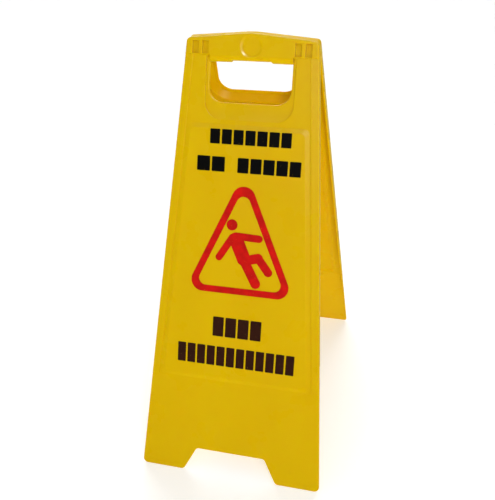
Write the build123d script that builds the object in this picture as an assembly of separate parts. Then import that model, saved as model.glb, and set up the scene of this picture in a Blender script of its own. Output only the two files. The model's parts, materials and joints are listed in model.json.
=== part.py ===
"""Folding A-frame wet floor sign: two identical moulded panels, hinged at the top on two pins.

Units are millimetres. World frame: +Z up, the front panel faces -Y, and the origin is on the
floor, midway between the feet. Each panel is first drawn in its own flat frame, where x runs
across it, y runs up it from the hinge axis, and z runs out of its printed face from the plane
in which the two closed panels meet. The front panel and its turned twin are then opened about
the hinge axis.
"""
from build123d import *
from math import atan2, cos, degrees, dist, radians, sin, tan
import os

# Panel outline
PANEL_HEIGHT = 650.0
TOP_WIDTH = 180.5
BOTTOM_WIDTH = 282.0
ROOF_RISE = 8.5
ROOF_RADIUS = 120.0
CORNER_RADIUS = 6.0
ARCH_TOP_WIDTH = 107.0
ARCH_BOTTOM_WIDTH = 146.5
ARCH_HEIGHT = 39.2
ARCH_RADIUS = 6.0
FOOT_RADIUS = 7.5

# Panel section, measured outward from the closing plane
WALL = 2.5
FACE_LEVEL = 13.0
RAISED_LEVEL = 15.0
FIELD_LEVEL = 15.0
DISH_LEVEL = 9.8
EDGE_RADIUS = 1.5
CLOSED_CLEARANCE = 0.15

# Bevelled rim along each side
RIM_WIDTH = 11.8
RIM_EDGE_LEVEL = 13.4
RIM_INNER_LEVEL = 14.2
RIM_INNER_RADIUS = 0.4

# Side flange, which is cut back towards the feet
FLANGE_STEP_DROP = 452.0
FLANGE_STEP = 4.0
FLANGE_FOOT_LEVEL = 10.0

# Handle bar, hand hole and the dish around the hole
SHOULDER_DROP = 21.5
HOLE_WIDTH = 114.0
HOLE_TOP_DROP = 29.5
HOLE_BOTTOM_DROP = 83.6
HOLE_RADIUS = 20.0
HOLE_LIP_RADIUS = 2.0
SCOOP_EDGE = 5.0
SCOOP_FLARE = 9.0
BAR_RELIEF_WIDTH = 54.0
BAR_RELIEF_DEPTH = 2.1
BAR_RELIEF_RAMP = 4.0
BAR_LOWER_RADIUS = 8.0
BAR_TOP_RADIUS = 2.5
DISH_WIDTH = 124.0
DISH_BOTTOM_DROP = 106.8
DISH_FLAT = 4.0
DISH_RADIUS = 24.0
DISC_RADIUS = 15.5
DISC_DROP = 9.0
DISC_DEPTH = 1.2
DISC_SLOPE_WIDTH = 3.0

# Print field, a raised pan in the middle of the panel
FIELD_INSET = 13.5
FIELD_TOP_DROP = 113.0
FIELD_BOTTOM_DROP = 493.0
FIELD_RADIUS = 7.0
FIELD_SLOPE_WIDTH = 6.0

# Hinge: axis, opening, knuckles, pins and the blind windows in front of the knuckles
HINGE_DROP = 14.0
OPENING_ANGLE = 37.8
PIN_RADIUS = 2.5
PIN_ENDS = (58.8, 82.2)
RUNNING_CLEARANCE = 0.05
KNUCKLE_RADIUS = 6.0
FORK_KNUCKLES = ((59.0, 66.0), (75.0, 82.0))
TONGUE_KNUCKLE = (66.5, 74.5)
ARM_ROOT_DROPS = (22.0, 36.0)
ARM_UPPER_END = (1.5, 5.7)
ARM_LOWER_END = (-5.6, 1.5)
PIN_ACCESS_RADIUS = 3.5
WINDOW_CENTRES = (63.5, 77.3)
WINDOW_WIDTH = 8.6
WINDOW_DROPS = (3.5, 20.5)
POCKET_LEVEL = 10.8
POCKET_WALL = 2.0

# Feet: depth of the flat land that stands on the floor
FOOT_LAND = 0.9

# Print, modelled as a thin film
FILM = 0.25
BLOCK_GAP = 2.6
BLOCK_RADIUS = 1.2
# Rows of plain blocks: drop of the top edge, height, and (left, right, blocks) for each group
PRINT_ROWS = {
    "print_row_1": (119.3, 20.3, ((-51.5, 63.0, 7),)),
    "print_row_2": (157.2, 20.8, ((-68.8, -28.7, 2), (-10.5, 78.5, 5))),
    "print_row_3": (391.0, 30.0, ((-35.5, 37.2, 4),)),
    "print_row_4": (437.0, 30.5, ((-88.0, 89.0, 12),)),
}
TRIANGLE_CENTRE = 1.0
TRIANGLE_TOP_DROP = 196.5
TRIANGLE_BOTTOM_DROP = 354.0
TRIANGLE_APEX_ANGLE = 48.0
TRIANGLE_OUTER_RADIUS = 17.0
TRIANGLE_BAND = 10.0
TRIANGLE_INNER_RADIUS = 10.0
# Slipping figure: (x, drop) of each limb's two ends, and its half thickness
HEAD = ((-14.0, 252.0), 8.0)
LIMBS = (
    ((-7.0, 272.5), (5.5, 300.0), 10.2),
    ((-4.0, 267.7), (26.0, 269.0), 5.4),
    ((-12.5, 270.0), (-31.0, 300.5), 5.2),
    ((7.0, 302.5), (26.5, 297.0), 7.0),
    ((26.5, 297.0), (42.0, 316.5), 6.2),
    ((6.5, 303.0), (24.5, 335.0), 7.2),
)

# Derived values
TILT = radians(OPENING_ANGLE / 2)
SIDE_SLOPE = (BOTTOM_WIDTH - TOP_WIDTH) / 2 / PANEL_HEIGHT
AXIS_HEIGHT = (
    (PANEL_HEIGHT - HINGE_DROP) * cos(TILT) - (FACE_LEVEL - WALL) * sin(TILT) - FOOT_LAND
)
# Reach of cuts that go right through, and the slack when two places are compared
ROOM = 60.0
TOLERANCE = 0.01


def down(drop):
    """Height on the panel of a point that is `drop` below the top corners."""
    return HINGE_DROP - drop


def half_width(drop):
    """Half the panel's width at `drop` below the top corners."""
    return TOP_WIDTH / 2 + SIDE_SLOPE * drop


def polygon(points):
    """Face with straight sides through the points."""
    return make_face(Polyline(*points, close=True))


def rectangle(half, low_drop, high_drop):
    """Face centred across the panel, between two distances below the top."""
    height = low_drop - high_drop
    return Pos(0, down(low_drop) + height / 2) * Rectangle(2 * half, height)


def slab(face, low, high):
    """Solid on the face, from one level to another above the closing plane."""
    return extrude(Pos(0, 0, low) * face, amount=high - low, dir=(0, 0, 1))


def across(face, start, end):
    """Solid along x from a section drawn with y to its right and z up."""
    section = Plane((start, 0, 0), x_dir=(0, 1, 0), z_dir=(1, 0, 0)) * face
    return extrude(section, amount=end - start)


def rod(radius, start, end):
    """Round bar about the hinge axis."""
    return Pos((start + end) / 2, 0, 0) * Rot(0, 90, 0) * Cylinder(radius, end - start)


def both_sides(solid):
    """The solid and its mirror image on the panel's other side."""
    return solid + mirror(solid, about=Plane.YZ)


def lowest_edge_on_top(solid):
    """Edge of the highest flat face that lies nearest to the feet."""
    return solid.faces().sort_by(Axis.Z)[-1].edges().sort_by(Axis.Y)[:1]


def panel_outline(inset):
    """Outline with the gabled top and the arch between the feet, moved in by `inset`."""
    foot = down(PANEL_HEIGHT)
    right = [
        (TOP_WIDTH / 2, down(0)),
        (BOTTOM_WIDTH / 2, foot),
        (ARCH_BOTTOM_WIDTH / 2, foot),
        (ARCH_TOP_WIDTH / 2, foot + ARCH_HEIGHT),
    ]
    left = [(-x, y) for x, y in reversed(right)]
    face = polygon([(0, down(-ROOF_RISE)), *right, *left])
    # The corners stand at four heights, and are rounded from the ridge down to the feet
    for radius, height in (ROOF_RADIUS, 3), (CORNER_RADIUS, 2), (ARCH_RADIUS, 1), (FOOT_RADIUS, 0):
        face = fillet(face.vertices().group_by(Axis.Y)[height], radius)
    return offset(face, amount=-inset) if inset else face


def field_outline(inset):
    """Outline of the print field, moved in by `inset`; its sides follow the panel's sides."""
    top = FIELD_TOP_DROP + inset
    bottom = FIELD_BOTTOM_DROP - inset
    half_top = half_width(top) - FIELD_INSET - inset
    half_bottom = half_width(bottom) - FIELD_INSET - inset
    face = polygon([
        (-half_top, down(top)),
        (half_top, down(top)),
        (half_bottom, down(bottom)),
        (-half_bottom, down(bottom)),
    ])
    return fillet(face.vertices(), FIELD_RADIUS)


def print_field(foot_level, top_level):
    """Raised pan with sloping sides."""
    foot = Pos(0, 0, foot_level) * field_outline(0)
    top = Pos(0, 0, top_level) * field_outline(FIELD_SLOPE_WIDTH)
    return loft([foot, top], ruled=True)


def rim():
    """Bevelled band along the right side, from the shoulder to the foot of the print field."""
    section = polygon([
        (0, FACE_LEVEL - WALL),
        (0, RIM_EDGE_LEVEL),
        (RIM_WIDTH - RIM_INNER_RADIUS, RIM_INNER_LEVEL),
        (RIM_WIDTH, FACE_LEVEL - WALL),
    ])
    section = fillet(section.vertices().sort_by(Axis.Y)[-1], RIM_INNER_RADIUS)
    section = fillet(section.vertices().group_by(Axis.X)[0].sort_by(Axis.Y)[-1], EDGE_RADIUS)
    side = Vector(-SIDE_SLOPE, 1, 0).normalized()
    start = Vector(BOTTOM_WIDTH / 2, down(PANEL_HEIGHT), 0)
    frame = Plane(start, x_dir=side.cross(Vector(0, 0, -1)), z_dir=side)
    band = extrude(frame * section, amount=PANEL_HEIGHT)
    return band & slab(rectangle(BOTTOM_WIDTH, FIELD_BOTTOM_DROP, SHOULDER_DROP), 0, ROOM)


def hole_outline(grow):
    """Hand hole, square at the bar and round at the bottom, made larger by `grow`."""
    face = rectangle(HOLE_WIDTH / 2 + grow, HOLE_BOTTOM_DROP + grow, HOLE_TOP_DROP - grow)
    return fillet(face.vertices().group_by(Axis.Y)[0], HOLE_RADIUS + grow)


def scoop(grow):
    """Space behind the hand hole that widens towards the closing plane, made larger by `grow`."""
    narrow = Pos(0, 0, DISH_LEVEL - WALL) * hole_outline(SCOOP_EDGE + grow)
    wide = hole_outline(SCOOP_EDGE + SCOOP_FLARE + grow)
    below_bar = slab(rectangle(BOTTOM_WIDTH, PANEL_HEIGHT, HOLE_TOP_DROP - grow), 0, ROOM)
    return loft([wide, narrow], ruled=True) & below_bar


def relief_outline():
    """Shallow finger relief in the middle of the bar's lower edge."""
    half = BAR_RELIEF_WIDTH / 2
    low = down(HOLE_TOP_DROP + BAR_RELIEF_DEPTH)
    high = down(HOLE_TOP_DROP - BAR_RELIEF_DEPTH)
    return polygon([
        (-half - BAR_RELIEF_RAMP, low),
        (-half, high),
        (half, high),
        (half + BAR_RELIEF_RAMP, low),
    ])


def dish_outline(grow):
    """Edge of the dish round the hand hole, which runs up under the bar."""
    face = rectangle(DISH_WIDTH / 2 + grow, DISH_BOTTOM_DROP + grow, SHOULDER_DROP)
    return fillet(face.vertices().group_by(Axis.Y)[0], DISH_RADIUS + grow)


def dish_space():
    """Space of the dish: it curves in from its lower edge to the flat lip of the hole."""
    edge = (down(DISH_BOTTOM_DROP), FACE_LEVEL)
    lip = (down(HOLE_BOTTOM_DROP + DISH_FLAT), DISH_LEVEL)
    curve = TangentArc(lip, edge, tangent=(-1, 0))
    corners = Polyline(edge, (edge[0], ROOM), (down(0), ROOM), (down(0), DISH_LEVEL), lip)
    space = across(make_face([curve, *corners.edges()]), -DISH_WIDTH, DISH_WIDTH)
    return space & slab(dish_outline(0), 0, ROOM)


def on_hole_lip(edge):
    """Whether an edge runs along the hand hole on the floor of the dish, below the bar."""
    box = edge.bounding_box()
    beside_hole = abs(edge.center().X) < HOLE_WIDTH / 2 + TOLERANCE
    below_bar = down(HOLE_BOTTOM_DROP) - TOLERANCE < edge.center().Y < down(HOLE_TOP_DROP)
    on_floor = max(abs(box.min.Z - DISH_LEVEL), abs(box.max.Z - DISH_LEVEL)) < TOLERANCE
    return beside_hole and below_bar and on_floor


def base_shell():
    """Outer form of the panel below the bar, with the dish and the hand hole's lip."""
    base = slab(panel_outline(0), 0, FACE_LEVEL)
    base = fillet(base.faces().sort_by(Axis.Z)[-1].outer_wire().edges(), EDGE_RADIUS)
    base -= dish_space()
    base -= slab(hole_outline(0), -ROOM, ROOM)
    return fillet(base.edges().filter_by(on_hole_lip), HOLE_LIP_RADIUS)


def bar_and_blocks():
    """Handle bar with its rolled lower edge, and the raised hinge block at each end of it."""
    whole = slab(panel_outline(0), 0, RAISED_LEVEL)
    whole = fillet(whole.faces().sort_by(Axis.Z)[-1].outer_wire().edges(), BAR_TOP_RADIUS)
    blocks = slab(rectangle(TOP_WIDTH, SHOULDER_DROP, -ROOM), 0, RAISED_LEVEL)
    blocks = fillet(lowest_edge_on_top(blocks), EDGE_RADIUS)
    blocks -= slab(rectangle(HOLE_WIDTH / 2, SHOULDER_DROP, 0), -ROOM, ROOM)
    bar = slab(rectangle(HOLE_WIDTH / 2, HOLE_TOP_DROP, 0), 0, RAISED_LEVEL)
    bar = fillet(lowest_edge_on_top(bar), BAR_LOWER_RADIUS)
    return whole & (blocks + bar)


def disc():
    """Blank round dimple in the middle of the bar, with a sloping edge."""
    inner, outer = DISC_RADIUS - DISC_SLOPE_WIDTH, DISC_RADIUS + DISC_SLOPE_WIDTH
    return Pos(0, down(DISC_DROP), RAISED_LEVEL) * Cone(inner, outer, 2 * DISC_DEPTH)


def windows():
    """Blind openings in front of the hinge knuckles."""
    top, bottom = WINDOW_DROPS
    opening = slab(rectangle(WINDOW_WIDTH / 2, bottom, top), POCKET_LEVEL, ROOM)
    return [Pos(side * x, 0, 0) * opening for x in WINDOW_CENTRES for side in (-1, 1)]


def pocket_walls():
    """Material round and behind the two windows on the right side."""
    top, bottom = WINDOW_DROPS
    inner, outer = WINDOW_CENTRES
    half = (outer - inner + WINDOW_WIDTH) / 2 + POCKET_WALL
    face = rectangle(half, bottom + POCKET_WALL, top - POCKET_WALL)
    return Pos((inner + outer) / 2, 0, 0) * slab(face, POCKET_LEVEL - WALL, FACE_LEVEL)


def foot_zone():
    """Area between the side walls at the feet, where the arch and the soles have no wall."""
    top, bottom = PANEL_HEIGHT - 2 * ARCH_HEIGHT, PANEL_HEIGHT + WALL
    half_top, half_bottom = half_width(top) - WALL, half_width(bottom) - WALL
    return polygon([
        (-half_top, down(top)),
        (half_top, down(top)),
        (half_bottom, down(bottom)),
        (-half_bottom, down(bottom)),
    ])


def cavity():
    """Hollow back of the panel, which leaves a wall round its sides, top and scoop."""
    inside = panel_outline(WALL)
    space = slab(inside + foot_zone(), -ROOM, FACE_LEVEL - WALL)
    bar_wall = HOLE_TOP_DROP - BAR_RELIEF_DEPTH - WALL
    space -= scoop(WALL) - scoop(0)
    space -= slab(rectangle(HOLE_WIDTH / 2 + WALL, HOLE_TOP_DROP, bar_wall), -ROOM, ROOM)
    space -= slab(dish_outline(WALL), DISH_LEVEL - WALL, ROOM)
    block_zone = rectangle(TOP_WIDTH, SHOULDER_DROP - WALL, -ROOM)
    space += slab(inside & block_zone, 0, RAISED_LEVEL - WALL)
    return space + print_field(FACE_LEVEL - WALL, FIELD_LEVEL - WALL)


def flange_cut():
    """Space that steps and then tapers the side flanges down towards the feet."""
    step = down(FLANGE_STEP_DROP)
    foot = down(PANEL_HEIGHT + WALL)
    section = polygon([
        (step, -ROOM),
        (step, FLANGE_STEP),
        (foot, FLANGE_FOOT_LEVEL),
        (foot, -ROOM),
    ])
    return across(section, -BOTTOM_WIDTH, BOTTOM_WIDTH)


def meeting_cut():
    """Space of the other panel when closed, and when open, where the roof edges butt."""
    open_rise = CLOSED_CLEARANCE / cos(TILT)
    section = polygon([
        (-PANEL_HEIGHT, -ROOM),
        (-PANEL_HEIGHT, CLOSED_CLEARANCE),
        (0, CLOSED_CLEARANCE),
        (0, open_rise),
        (ROOM, open_rise + ROOM * tan(TILT)),
        (ROOM, -ROOM),
    ])
    return across(section, -BOTTOM_WIDTH, BOTTOM_WIDTH)


def knuckle(ends, bore_radius):
    """Hinge knuckle on an arm from the back of the panel's face, with its bore."""
    upper, lower = ARM_ROOT_DROPS
    root = FACE_LEVEL - WALL / 2
    section = polygon([ARM_UPPER_END, (down(upper), root), (down(lower), root), ARM_LOWER_END])
    return rod(KNUCKLE_RADIUS, *ends) + across(section, *ends) - rod(bore_radius, *ends)


def panel():
    """One moulded panel: fork knuckles on its right side and a tongue on its left side."""
    body = base_shell() + bar_and_blocks() + print_field(FACE_LEVEL, FIELD_LEVEL)
    body += both_sides(rim())
    body -= slab(relief_outline(), -ROOM, ROOM)
    body -= disc()
    body -= cavity()
    body -= flange_cut()
    body -= meeting_cut()
    body -= both_sides(rod(PIN_ACCESS_RADIUS, PIN_ENDS[1] + WALL, TOP_WIDTH / 2 + ROOM))
    for ends in FORK_KNUCKLES:
        body += knuckle(ends, PIN_RADIUS)
    tongue = knuckle(TONGUE_KNUCKLE, PIN_RADIUS + RUNNING_CLEARANCE)
    body += mirror(tongue, about=Plane.YZ)
    body += both_sides(pocket_walls())
    for window in windows():
        body -= window
    return body


def film(face):
    """Print of the given outline on the panel's print field."""
    return slab(face, FIELD_LEVEL, FIELD_LEVEL + FILM)


def print_row(top_drop, height, groups):
    """Row of plain blocks, spread evenly over each group's width."""
    middle = down(top_drop + height / 2)
    blocks = []
    for left, right, count in groups:
        pitch = (right - left + BLOCK_GAP) / count
        block = RectangleRounded(pitch - BLOCK_GAP, height, BLOCK_RADIUS)
        first = left + (pitch - BLOCK_GAP) / 2
        blocks += [film(Pos(first + i * pitch, middle) * block) for i in range(count)]
    return Compound(children=blocks)


def triangle_outline(inset, radius):
    """Rounded triangle of the hazard sign, moved in by `inset`."""
    half_apex = radians(TRIANGLE_APEX_ANGLE / 2)
    apex_drop = TRIANGLE_TOP_DROP - TRIANGLE_OUTER_RADIUS * (1 / sin(half_apex) - 1)
    apex = down(apex_drop + inset / sin(half_apex))
    base = down(TRIANGLE_BOTTOM_DROP - inset)
    half_base = (apex - base) * tan(half_apex)
    centre = TRIANGLE_CENTRE
    face = polygon([(centre, apex), (centre + half_base, base), (centre - half_base, base)])
    return fillet(face.vertices(), radius)


def triangle():
    """Red band of the hazard sign."""
    outer = triangle_outline(0, TRIANGLE_OUTER_RADIUS)
    return film(outer - triangle_outline(TRIANGLE_BAND, TRIANGLE_INNER_RADIUS))


def limb(start, end, half_thickness):
    """Round-ended stroke from one point to another."""
    (x1, drop1), (x2, drop2) = start, end
    middle = Pos((x1 + x2) / 2, down((drop1 + drop2) / 2))
    turn = Rot(0, 0, degrees(atan2(drop1 - drop2, x2 - x1)))
    return middle * turn * SlotCenterToCenter(dist(start, end), 2 * half_thickness)


def figure():
    """Plain slipping figure: a head, and a body made of strokes."""
    (x, drop), radius = HEAD
    body = limb(*LIMBS[0])
    for stroke in LIMBS[1:]:
        body += limb(*stroke)
    return Compound(children=[film(Pos(x, down(drop)) * Circle(radius)), film(body)])


def open_front(shape):
    """Stand a shape up from the flat frame, as part of the opened front panel."""
    upright = Plane.XZ * shape
    return Pos(0, 0, AXIS_HEIGHT) * Rot(-degrees(TILT), 0, 0) * upright


def stand_on_floor(shape):
    """Cut away what would be under the floor, which leaves a flat land on each foot."""
    size = 2 * PANEL_HEIGHT
    return shape - Pos(0, 0, -size / 2) * Box(size, size, size)


def main():
    """Write one STEP file for each piece."""
    os.makedirs("parts", exist_ok=True)
    pieces = {"panel": stand_on_floor(open_front(panel()))}
    for name, row in PRINT_ROWS.items():
        pieces[name] = open_front(print_row(*row))
    pieces["print_triangle"] = open_front(triangle())
    pieces["print_figure"] = open_front(figure())
    for name, piece in pieces.items():
        export_step(piece, f"parts/front_{name}.step")
        export_step(Rot(0, 0, 180) * piece, f"parts/rear_{name}.step")
    pin = open_front(rod(PIN_RADIUS, *PIN_ENDS))
    export_step(pin, "parts/hinge_pin_right.step")
    export_step(Rot(0, 0, 180) * pin, "parts/hinge_pin_left.step")


main()
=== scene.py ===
import json
from math import cos, pi, radians, sin

import bpy
from mathutils import Matrix, Vector

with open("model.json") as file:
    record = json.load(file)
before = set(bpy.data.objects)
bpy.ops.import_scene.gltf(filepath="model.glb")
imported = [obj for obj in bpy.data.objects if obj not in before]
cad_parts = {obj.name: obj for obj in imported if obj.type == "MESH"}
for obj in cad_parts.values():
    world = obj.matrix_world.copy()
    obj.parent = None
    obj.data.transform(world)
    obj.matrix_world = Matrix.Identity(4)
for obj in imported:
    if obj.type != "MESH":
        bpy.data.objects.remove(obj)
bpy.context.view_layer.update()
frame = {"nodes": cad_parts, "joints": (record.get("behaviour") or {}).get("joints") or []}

# Camera, at the photograph's viewing angle
CAMERA_AZIMUTH = 13.71
CAMERA_ELEVATION = 31.30
CAMERA_ROLL = -1.31
CAMERA_DISTANCE = 1.032
CAMERA_TARGET = Vector((-0.0146, 0.0, 0.2808))
CAMERA_LENS = 46.0

# Key light: a square soft box in front of the sign, with its power in watts
KEY_AZIMUTH = 22.0
KEY_ELEVATION = 28.0
KEY_SIZE = 0.8
KEY_POWER = 20.0
LIGHT_DISTANCE = 2.2
# Lights from far away: azimuth, elevation, strength, and the angle each one spreads over
BACK_LIGHT = (190.0, 26.0, 2.6, 60.0)
TOP_LIGHT = (0.0, 85.0, 0.6, 100.0)
GLINT_LIGHT = (27.0, 52.0, 5.5, 5.0)
# Light that comes from all round, and from the floor itself
WORLD_STRENGTH = 0.28
FLOOR_GLOW = 0.28

# Colours, linear
YELLOW = (0.705, 0.478, 0.0003)
YELLOW_DEEP = (0.672, 0.436, 0.0002)
# Brighter, more orange yellow painted on the sides that face the other panel, and partly on
# walls: painted glow standing in for light shining through and bouncing between the panels
YELLOW_PAINTED_GLOW = (0.735, 0.468, 0.0003)
YELLOW_WORN = (0.72, 0.525, 0.008)
# Dark orange-brown: painted shade in corners, and the colour of dirt scuffs near the feet
GRIME_AND_CORNER_SHADE = (0.42, 0.215, 0.008)
UPPER_INK = (0.0012, 0.0010, 0.0008)
LOWER_INK = (0.034, 0.0085, 0.0035)
HAZARD_INK = (0.62, 0.0075, 0.0045)
FLOOR_COLOUR = (0.88, 0.88, 0.875)
WHITE = (1.0, 1.0, 1.0)

# Plastic and ink: reflection, and the light that glows a little way into the plastic
PLASTIC_IOR = 1.49
PLASTIC_SPECULAR = 0.12
INK_SPECULAR = 0.04
PLASTIC_GLOW = 1.0
PLASTIC_GLOW_DEPTH = 0.0018
PLASTIC_GLOW_COLOUR = (1.0, 0.78, 0.04)
PLASTIC_ROUGHNESS = (0.24, 0.36)
INK_ROUGHNESS = (0.42, 0.56)

# Each SCALE below is in cycles per metre, one number or one for each of a panel's axes. Each
# RANGE is the span of the noise over which a mark fades in, and each SHARE how strong it gets.
# Each DEPTH is a height of relief.
MIDDLE_RANGE = (0.30, 0.70)
FLOW_SCALE = (9.0, 2.6, 9.0)
CLOUD_SCALE = 16.0
CLOUD_RANGE = (0.45, 0.80)
CLOUD_SHARE = 0.30
WAVE_SCALE = 22.0
WAVE_DEPTH = 0.0007
GRAIN_SCALE = 1500.0
GRAIN_DEPTH = 0.000035

# Scratches: thin strokes in patches, at two angles, with a shift that keeps the two sets apart
SCRATCH_SETS = ((0.45, 0.0), (-0.70, 3.7))
SCRATCH_SCALE = (520.0, 9.0, 20.0)
SCRATCH_RANGE = (0.70, 0.76)
PATCH_SCALE = 14.0
PATCH_RANGE = (0.50, 0.66)
SCRATCH_ROUGHNESS = 0.15
SCRATCH_DEPTH = 0.00005

# Worn edges: the likeness of the rounded and the flat normal tells an edge from a flat face
EDGE_RADIUS = 0.0007
EDGE_LIKENESS = (1.0, 0.90)
EDGE_SAMPLES = 6
RAGGED_SCALE = 240.0
RAGGED_RANGE = (0.42, 0.62)
WEAR_SHARE = 0.30

# Painted shade and dirt: darker colour in corners that little open sky reaches, and dirt scuffs
# between two heights on a panel
CORNER_REACH = 0.006
CORNER_OPENNESS = (0.75, 0.20)
CORNER_SAMPLES = 6
CORNER_SHADE_SHARES = (0.02, 0.14)
FOOT_HEIGHTS = (-0.560, -0.640)
SCUFF_SCALE = (90.0, 60.0, 90.0)
SCUFF_ANGLE = 0.5
SCUFF_RANGE = (0.60, 0.72)
SCUFF_SHARE = 0.10

# Ink: mottle, pinholes, thin edges and orange peel
MOTTLE_SCALE = 60.0
MOTTLE_RANGE = (0.35, 0.65)
MOTTLE_DARKNESS = 0.72
SPECK_SCALE = 620.0
THIN_RANGE = (0.45, 0.60)
THIN_SHARE = 0.35
PINHOLE_RANGE = (0.77, 0.81)
PINHOLE_SHARE = 0.4
PEEL_SCALE = 900.0
PEEL_DEPTH = 0.00003

# Floor, a hair below the feet
FLOOR_REACH = 14.0
FLOOR_GAP = 0.0003
FLOOR_MOTTLE_SCALE = 3.0
FLOOR_DARKNESS = 0.985
FLOOR_ROUGHNESS = 0.9

# The hinge sets the place of each panel's own frame, and half its range is an open panel's lean
HINGE = frame["joints"][0]
HINGE_PLACE = HINGE["pos_m"]
TILT = radians(-HINGE["range_deg"][0] / 2)
# Walls whose normal leans less than this towards either side blend from one colour to the other,
# so walls get part of the painted glow
WALL_BLEND = 0.35

# Sockets of the Mix node when it mixes colours
MIX_FACTOR, MIX_A, MIX_B, MIX_RESULT = 0, 6, 7, 2


def new_material(name):
    """Node material, its tree and its shader."""
    made = bpy.data.materials.new(name)
    made.use_nodes = True
    return made, made.node_tree, made.node_tree.nodes["Principled BSDF"]


def feed(tree, socket, value):
    """Link or set one input."""
    if isinstance(value, bpy.types.NodeSocket):
        tree.links.new(value, socket)
    else:
        socket.default_value = value


def add(tree, kind, inputs, **settings):
    """New node with its settings, and its inputs by socket name or number."""
    node = tree.nodes.new(kind)
    for name, value in settings.items():
        setattr(node, name, value)
    for socket, value in inputs.items():
        feed(tree, node.inputs[socket], value)
    return node


def calculate(tree, operation, first, second):
    """One step of arithmetic."""
    return add(tree, "ShaderNodeMath", {0: first, 1: second}, operation=operation).outputs[0]


def likeness(tree, first, second):
    """Dot product of two directions: 1 where they agree, 0 where they are square."""
    inputs = {0: first, 1: second}
    return add(tree, "ShaderNodeVectorMath", inputs, operation="DOT_PRODUCT").outputs["Value"]


def remap(tree, value, low, high, new_low=0.0, new_high=1.0):
    """The value's range low to high, moved to a new range and clamped to it."""
    inputs = {
        "Value": value,
        "From Min": low,
        "From Max": high,
        "To Min": new_low,
        "To Max": new_high,
    }
    return add(tree, "ShaderNodeMapRange", inputs).outputs["Result"]


def mix(tree, factor, first, second):
    """Colour between two colours."""
    colours = {MIX_FACTOR: factor, MIX_A: first, MIX_B: second}
    for socket in (MIX_A, MIX_B):
        if not isinstance(colours[socket], bpy.types.NodeSocket):
            colours[socket] = (*colours[socket], 1.0)
    return add(tree, "ShaderNodeMix", colours, data_type="RGBA").outputs[MIX_RESULT]


def noise(tree, place, scale, detail):
    """Noise from 0 to 1, mostly near 0.5."""
    inputs = {"Vector": place, "Scale": scale, "Detail": detail}
    return add(tree, "ShaderNodeTexNoise", inputs).outputs["Fac"]


def stretched_noise(tree, place, scale, detail, angle=0.0):
    """Noise with its own scale along each axis, after a turn in the panel's plane."""
    turned = add(tree, "ShaderNodeMapping", {"Vector": place, "Rotation": (0.0, 0.0, angle)})
    scaled = add(
        tree, "ShaderNodeMapping", {"Vector": turned.outputs["Vector"], "Scale": scale}
    )
    return noise(tree, scaled.outputs["Vector"], 1.0, detail)


def bump(tree, height, distance, normal):
    """Surface normal with the height added to it."""
    inputs = {"Height": height, "Distance": distance, "Strength": 1.0, "Normal": normal}
    return add(tree, "ShaderNodeBump", inputs).outputs["Normal"]


def panel_frame(tree, turned):
    """Position on a panel: x across it, y up it from the hinge axis, z out of its face."""
    place = add(tree, "ShaderNodeTexCoord", {}).outputs["Object"]
    turn = (pi / 2 - TILT, 0.0, pi if turned else 0.0)
    inputs = {"Vector": place, "Location": HINGE_PLACE, "Rotation": turn}
    return add(tree, "ShaderNodeMapping", inputs, vector_type="TEXTURE").outputs["Vector"]


def inner_side(tree, turned):
    """1 on surfaces that face the other panel, 0 on the printed side, between on walls."""
    outward = (0.0, cos(TILT) if turned else -cos(TILT), sin(TILT))
    facing = add(tree, "ShaderNodeTexCoord", {}).outputs["Normal"]
    return remap(tree, likeness(tree, facing, outward), WALL_BLEND, -WALL_BLEND)


def edges(tree):
    """Near 1 along edges and 0 on flat faces, with the rounded normal that shows them."""
    inputs = {"Radius": EDGE_RADIUS}
    rounded = add(tree, "ShaderNodeBevel", inputs, samples=EDGE_SAMPLES).outputs["Normal"]
    flat = add(tree, "ShaderNodeNewGeometry", {}).outputs["Normal"]
    return remap(tree, likeness(tree, rounded, flat), *EDGE_LIKENESS), rounded


def corners(tree):
    """Near 1 deep in grooves and corners, 0 on open faces."""
    inputs = {"Distance": CORNER_REACH}
    settings = {"samples": CORNER_SAMPLES, "only_local": True}
    openness = add(tree, "ShaderNodeAmbientOcclusion", inputs, **settings).outputs["AO"]
    return remap(tree, openness, *CORNER_OPENNESS)


def scratch_set(tree, place, angle, shift):
    """Sparse thin strokes at an angle across the panel."""
    shifted = add(
        tree, "ShaderNodeVectorMath", {0: place, 1: (shift, shift, 0.0)}, operation="ADD"
    ).outputs["Vector"]
    strokes = stretched_noise(tree, shifted, SCRATCH_SCALE, 1.0, angle)
    patches = noise(tree, shifted, PATCH_SCALE, 1.0)
    thin = remap(tree, strokes, *SCRATCH_RANGE)
    return calculate(tree, "MULTIPLY", thin, remap(tree, patches, *PATCH_RANGE))


def scratches(tree, place):
    """Both sets of scratches."""
    first, second = (scratch_set(tree, place, *each) for each in SCRATCH_SETS)
    return calculate(tree, "MAXIMUM", first, second)


def clean_colour(tree, place, cloud, turned):
    """Yellow with flow marks and cloudiness, and a painted glow of brighter, more orange yellow
    on inner sides.
    """
    flow = stretched_noise(tree, place, FLOW_SCALE, 3.0)
    colour = mix(tree, remap(tree, flow, *MIDDLE_RANGE), YELLOW, YELLOW_DEEP)
    cloudy = remap(tree, cloud, *CLOUD_RANGE, new_high=CLOUD_SHARE)
    colour = mix(tree, cloudy, colour, YELLOW_DEEP)
    # Painted glow: inner sides and walls move towards a brighter, more orange yellow
    return mix(tree, inner_side(tree, turned), colour, YELLOW_PAINTED_GLOW)


def wear(tree, place, edge, marks):
    """Where the plastic has gone pale: along ragged edges and in scratches."""
    ragged = remap(tree, noise(tree, place, RAGGED_SCALE, 3.0), *RAGGED_RANGE)
    worn = calculate(tree, "MULTIPLY", edge, ragged)
    either = calculate(tree, "MAXIMUM", worn, marks)
    return calculate(tree, "MULTIPLY", either, WEAR_SHARE)


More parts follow.
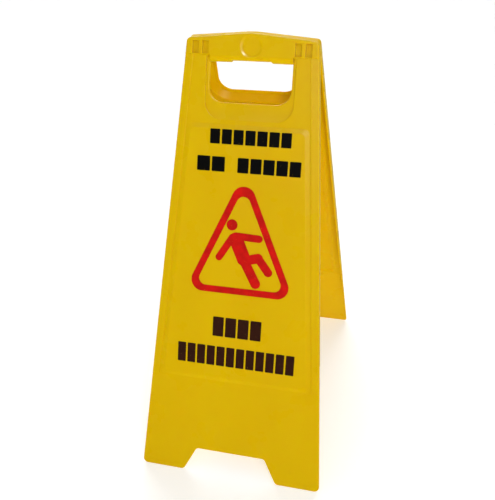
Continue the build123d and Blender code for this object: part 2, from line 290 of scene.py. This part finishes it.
def corner_shade_and_scuffs(tree, place, cloud):
    """Painted shade in the corners, and dirt scuffs near the feet."""
    patchy = remap(tree, cloud, *MIDDLE_RANGE, *CORNER_SHADE_SHARES)
    # Painted shade: corners darkened where little open sky reaches them
    corner_shade = calculate(tree, "MULTIPLY", corners(tree), patchy)
    height = add(tree, "ShaderNodeSeparateXYZ", {"Vector": place}).outputs["Y"]
    near_foot = remap(tree, height, *FOOT_HEIGHTS)
    speckle = stretched_noise(tree, place, SCUFF_SCALE, 5.0, SCUFF_ANGLE)
    scuff = remap(tree, speckle, *SCUFF_RANGE, new_high=SCUFF_SHARE)
    return calculate(tree, "MAXIMUM", corner_shade, calculate(tree, "MULTIPLY", near_foot, scuff))


def plastic_relief(tree, place, marks, rounded):
    """Surface normal: slow waves, fine grain and scratches, over the rounded edges."""
    normal = bump(tree, noise(tree, place, WAVE_SCALE, 1.0), WAVE_DEPTH, rounded)
    normal = bump(tree, noise(tree, place, GRAIN_SCALE, 2.0), GRAIN_DEPTH, normal)
    sunk = calculate(tree, "MULTIPLY", marks, -1.0)
    return bump(tree, sunk, SCRATCH_DEPTH, normal)


def moulded_plastic(name, turned):
    """Semi-gloss yellow moulding with the marks of its making and of use, a painted glow on its
    inner sides and painted shade in its corners.
    """
    made, tree, shader = new_material(name)
    place = panel_frame(tree, turned)
    cloud = noise(tree, place, CLOUD_SCALE, 4.0)
    marks = scratches(tree, place)
    edge, rounded = edges(tree)

    colour = clean_colour(tree, place, cloud, turned)
    colour = mix(tree, wear(tree, place, edge, marks), colour, YELLOW_WORN)
    # Painted shade in corners, and dirt scuffs near the feet
    colour = mix(tree, corner_shade_and_scuffs(tree, place, cloud), colour, GRIME_AND_CORNER_SHADE)
    feed(tree, shader.inputs["Base Color"], colour)

    gloss = remap(tree, cloud, *MIDDLE_RANGE, *PLASTIC_ROUGHNESS)
    duller = calculate(tree, "MULTIPLY", marks, SCRATCH_ROUGHNESS)
    feed(tree, shader.inputs["Roughness"], calculate(tree, "ADD", gloss, duller))
    feed(tree, shader.inputs["Normal"], plastic_relief(tree, place, marks, rounded))
    shader.inputs["IOR"].default_value = PLASTIC_IOR
    shader.inputs["Specular IOR Level"].default_value = PLASTIC_SPECULAR
    shader.inputs["Subsurface Weight"].default_value = PLASTIC_GLOW
    shader.inputs["Subsurface Radius"].default_value = PLASTIC_GLOW_COLOUR
    shader.inputs["Subsurface Scale"].default_value = PLASTIC_GLOW_DEPTH
    return made


def ink(name, base, turned):
    """Satin screen-printed ink: mottled colour, a few pinholes and a faint orange peel."""
    made, tree, shader = new_material(name)
    place = panel_frame(tree, turned)
    mottle = noise(tree, place, MOTTLE_SCALE, 4.0)
    specks = noise(tree, place, SPECK_SCALE, 1.0)
    edge, rounded = edges(tree)

    darker = tuple(MOTTLE_DARKNESS * part for part in base)
    colour = mix(tree, remap(tree, mottle, *MOTTLE_RANGE), base, darker)
    thin = calculate(
        tree, "MULTIPLY", edge, remap(tree, specks, *THIN_RANGE, new_high=THIN_SHARE)
    )
    pinholes = remap(tree, specks, *PINHOLE_RANGE, new_high=PINHOLE_SHARE)
    colour = mix(tree, calculate(tree, "MAXIMUM", thin, pinholes), colour, YELLOW)
    feed(tree, shader.inputs["Base Color"], colour)

    roughness = remap(tree, mottle, *MIDDLE_RANGE, *INK_ROUGHNESS)
    feed(tree, shader.inputs["Roughness"], roughness)
    peel = noise(tree, place, PEEL_SCALE, 2.0)
    feed(tree, shader.inputs["Normal"], bump(tree, peel, PEEL_DEPTH, rounded))
    shader.inputs["IOR"].default_value = PLASTIC_IOR
    shader.inputs["Specular IOR Level"].default_value = INK_SPECULAR
    return made


def floor_material():
    """Matt pale light table with a very faint mottle."""
    made, tree, shader = new_material("floor_matt")
    place = add(tree, "ShaderNodeTexCoord", {}).outputs["Object"]
    mottle = noise(tree, place, FLOOR_MOTTLE_SCALE, 3.0)
    darker = tuple(FLOOR_DARKNESS * part for part in FLOOR_COLOUR)
    colour = mix(tree, remap(tree, mottle, *MOTTLE_RANGE), FLOOR_COLOUR, darker)
    feed(tree, shader.inputs["Base Color"], colour)
    shader.inputs["Roughness"].default_value = FLOOR_ROUGHNESS
    shader.inputs["Specular IOR Level"].default_value = 0.0
    shader.inputs["Emission Color"].default_value = (*WHITE, 1.0)
    shader.inputs["Emission Strength"].default_value = FLOOR_GLOW
    return made


def paint(node_name, finish):
    """Give a CAD node's slots the material."""
    for material_slot in frame["nodes"][node_name].material_slots:
        material_slot.material = finish


def dress_sign():
    """Put every CAD node's material on it."""
    for side in ("front", "rear"):
        turned = side == "rear"
        plastic = moulded_plastic(f"{side}_moulded_plastic", turned)
        paint(f"{side}_panel", plastic)
        paint("hinge_pin_left" if turned else "hinge_pin_right", plastic)
        upper = ink(f"{side}_upper_ink", UPPER_INK, turned)
        lower = ink(f"{side}_lower_ink", LOWER_INK, turned)
        hazard = ink(f"{side}_hazard_ink", HAZARD_INK, turned)
        for piece, finish in (
            ("print_row_1", upper),
            ("print_row_2", upper),
            ("print_triangle", hazard),
            ("print_figure", hazard),
            ("print_row_3", lower),
            ("print_row_4", lower),
        ):
            paint(f"{side}_{piece}", finish)


def add_floor():
    """Large level floor."""
    mesh = bpy.data.meshes.new("studio_floor")
    corner_signs = ((-1, -1), (1, -1), (1, 1), (-1, 1))
    points = [(FLOOR_REACH * x, FLOOR_REACH * y, -FLOOR_GAP) for x, y in corner_signs]
    mesh.from_pydata(points, [], [(0, 1, 2, 3)])
    floor = bpy.data.objects.new("studio_floor", mesh)
    mesh.materials.append(floor_material())
    bpy.context.scene.collection.objects.link(floor)
    floor.visible_glossy = False


def direction(azimuth, elevation):
    """Unit vector from the sign towards an azimuth and an elevation in degrees."""
    turn, rise = radians(azimuth), radians(elevation)
    return Vector((sin(turn) * cos(rise), -cos(turn) * cos(rise), sin(rise)))


def add_light(lamp, azimuth, elevation):
    """Put a lamp where it shines at the camera's target from the given side."""
    away = direction(azimuth, elevation)
    light = bpy.data.objects.new(lamp.name, lamp)
    light.location = CAMERA_TARGET + LIGHT_DISTANCE * away
    light.rotation_mode = "QUATERNION"
    light.rotation_quaternion = away.to_track_quat("Z", "Y")
    bpy.context.scene.collection.objects.link(light)
    return light


def add_far_light(name, azimuth, elevation, strength, spread):
    """Even light, as if from far away on one side."""
    lamp = bpy.data.lights.new(name, "SUN")
    lamp.energy = strength
    lamp.angle = radians(spread)
    return add_light(lamp, azimuth, elevation)


def add_lights():
    """Soft box in front, wide lights behind and above, and a small one that only makes glints."""
    key = bpy.data.lights.new("key_light", "AREA")
    key.energy = KEY_POWER
    key.size = KEY_SIZE
    add_light(key, KEY_AZIMUTH, KEY_ELEVATION)
    add_far_light("glint_light", *GLINT_LIGHT).visible_diffuse = False
    add_far_light("back_light", *BACK_LIGHT)
    add_far_light("top_light", *TOP_LIGHT)


def add_world():
    """Even white light from all round."""
    world = bpy.data.worlds.new("studio")
    world.use_nodes = True
    background = world.node_tree.nodes["Background"]
    background.inputs["Color"].default_value = (*WHITE, 1.0)
    background.inputs["Strength"].default_value = WORLD_STRENGTH
    bpy.context.scene.world = world


def add_camera():
    """Camera at the photograph's viewing angle, with its slight roll."""
    data = bpy.data.cameras.new("camera")
    data.lens = CAMERA_LENS
    camera = bpy.data.objects.new("camera", data)
    away = direction(CAMERA_AZIMUTH, CAMERA_ELEVATION)
    aim = away.to_track_quat("Z", "Y").to_matrix().to_4x4()
    roll = Matrix.Rotation(radians(CAMERA_ROLL), 4, "Z")
    place = Matrix.Translation(CAMERA_TARGET + CAMERA_DISTANCE * away)
    camera.matrix_world = place @ aim @ roll
    bpy.context.scene.collection.objects.link(camera)
    bpy.context.scene.camera = camera


dress_sign()
add_floor()
add_lights()
add_world()
add_camera()
bpy.context.scene.view_settings.view_transform = "Standard"
